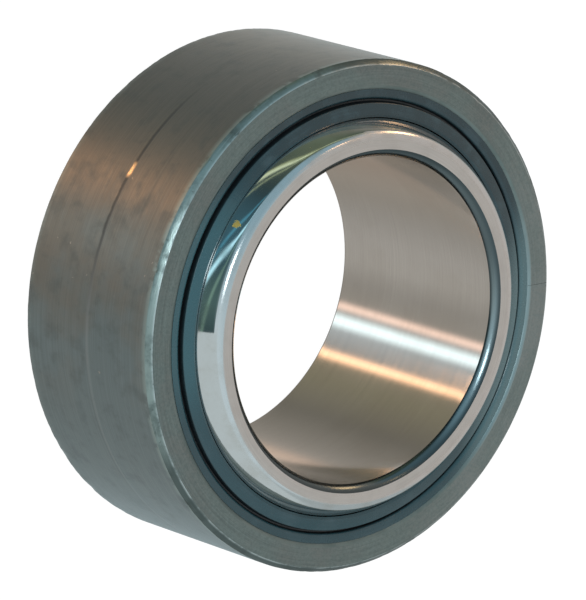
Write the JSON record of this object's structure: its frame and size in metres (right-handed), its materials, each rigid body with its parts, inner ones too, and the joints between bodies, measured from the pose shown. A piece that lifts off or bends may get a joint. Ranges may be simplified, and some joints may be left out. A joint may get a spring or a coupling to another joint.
{
  "type": "spherical plain bearing",
  "caption": "Sealed spherical plain bearing: a ring with a spherical outside swivels and tilts in a fabric-lined outer ring closed by a lip seal on each side.",
  "frame": {"origin": "centre of the spherical sliding surface, midway between the side faces", "axes": "+Z along the bore axis, towards the side face that faces the viewer; the bearing lies on the lower side face of the inner ring"},
  "size_m": [0.047, 0.047, 0.022],
  "materials": {
    "phosphated_steel": "dark satin phosphated bearing steel, ground outside",
    "liner_fabric": "woven low-friction fabric bonded to the race",
    "ball_steel": "ground bearing steel with a hard chromed, polished sphere",
    "seal_rubber": "satin dark moulded polyurethane"
  },
  "bodies": {
    "outer_ring": {"outer_ring": "phosphated_steel", "sliding_liner": "liner_fabric"},
    "seals": {"front_seal": "seal_rubber", "rear_seal": "seal_rubber"},
    "inner_ring": {"inner_ring": "ball_steel"}
  },
  "joints": [
    {"name": "inner_ring_spin", "type": "hinge", "parent": "outer_ring", "child": "seals", "pos_m": [0, 0, 0], "axis": [0, 0, 1], "continuous": true},
    {"name": "inner_ring_tilt", "type": "hinge", "parent": "seals", "child": "inner_ring", "pos_m": [0, 0, 0], "axis": [1, 0, 0], "range_deg": [-6, 6]}
  ]
}
